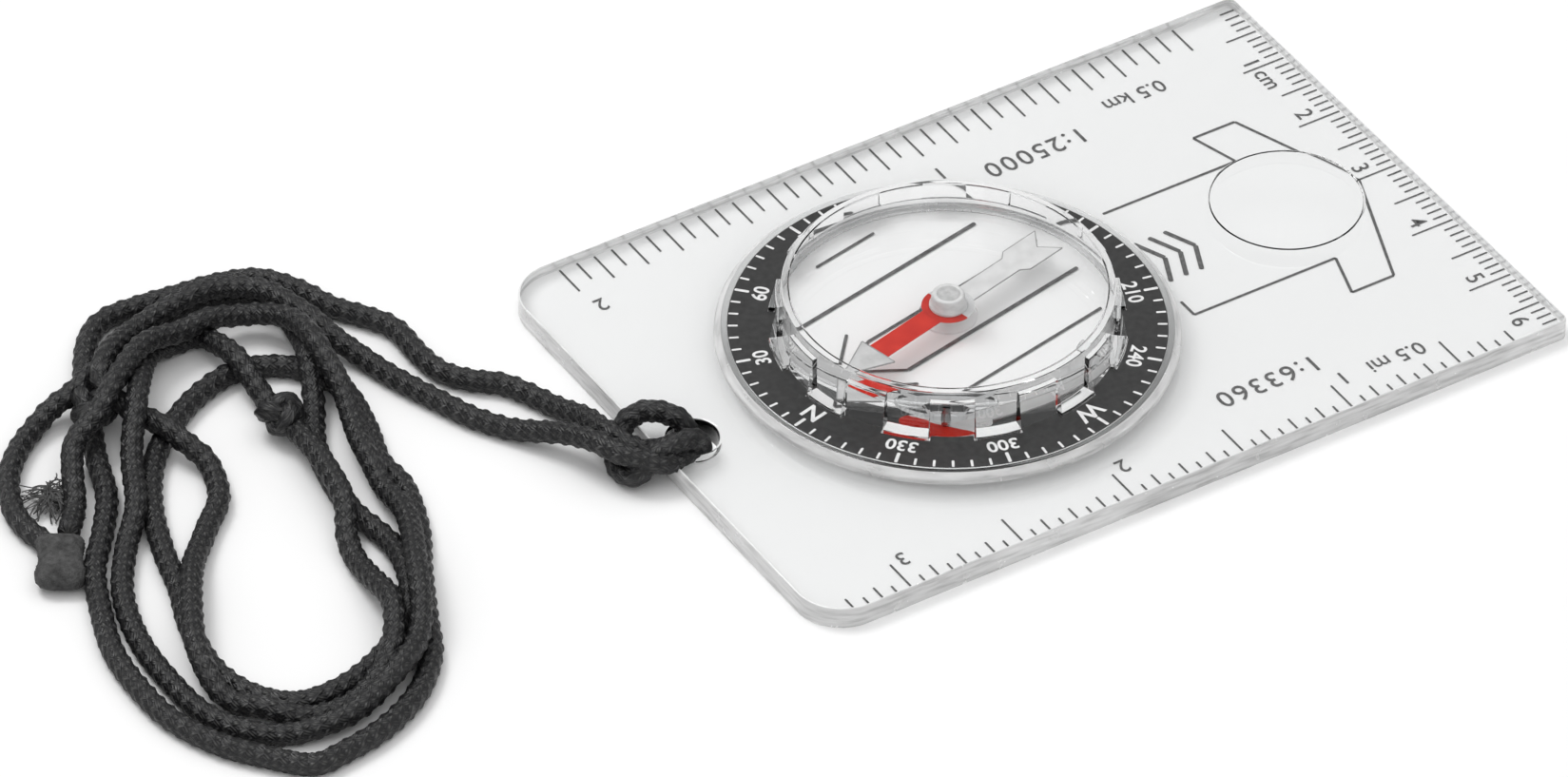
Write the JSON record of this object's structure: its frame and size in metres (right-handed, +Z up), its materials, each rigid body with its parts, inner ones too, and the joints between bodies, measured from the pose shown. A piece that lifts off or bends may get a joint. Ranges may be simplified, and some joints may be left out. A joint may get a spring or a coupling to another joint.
{
  "type": "baseplate compass",
  "caption": "Clear baseplate compass with a turning degree dial, liquid capsule with a magnetic needle, magnifying lens, map scales and a braided neck lanyard.",
  "frame": {"origin": "centre of the baseplate's underside, on the table", "axes": "+Y is the direction of travel, +X points to the plate's right-hand edge, +Z up"},
  "size_m": [0.0772, 0.1489, 0.0087],
  "materials": {
    "clear_plate": "clear moulded acrylic",
    "clear_bezel": "clear moulded plastic, polished",
    "dial_print": "black printed ring with off-white marks",
    "nylon_clip": "natural nylon",
    "pin_steel": "hardened steel",
    "needle_paint": "red north half, white south half and a pale grey arrowhead",
    "hub_plastic": "grey moulded",
    "jewel": "synthetic ruby",
    "cord_braid": "black braided polyester",
    "sleeve_black": "dull black shrink sleeve"
  },
  "bodies": {
    "plate": {"baseplate": "clear_plate", "magnifier_lens": "clear_plate", "friction_ring": "nylon_clip", "lanyard_hitch": "cord_braid", "lanyard_strand_a": "cord_braid", "lanyard_strand_b": "cord_braid", "lanyard_coil": "cord_braid", "lanyard_knot_a": "cord_braid", "lanyard_knot_b": "cord_braid", "lanyard_end_a": "cord_braid", "lanyard_end_b": "cord_braid", "lanyard_sleeve": "sleeve_black", "lanyard_frayed_end": "cord_braid"},
    "dial": {"bezel_ring": "clear_bezel", "degree_dial": "dial_print", "retaining_ring": "nylon_clip", "capsule_dome": "clear_bezel", "capsule_base": "clear_bezel", "fill_plug": "nylon_clip", "pivot_post": "clear_bezel", "pivot_pin": "pin_steel"},
    "needle": {"needle_blade": "needle_paint", "needle_hub": "hub_plastic", "jewel_cup": "jewel"}
  },
  "joints": [
    {"name": "dial_turn", "type": "hinge", "parent": "plate", "child": "dial", "pos_m": [0, -0.01, 0.0026], "axis": [0, 0, 1], "continuous": true},
    {"name": "needle_swing", "type": "hinge", "parent": "dial", "child": "needle", "pos_m": [0, -0.01, 0.0049], "axis": [0, 0, 1], "continuous": true}
  ]
}
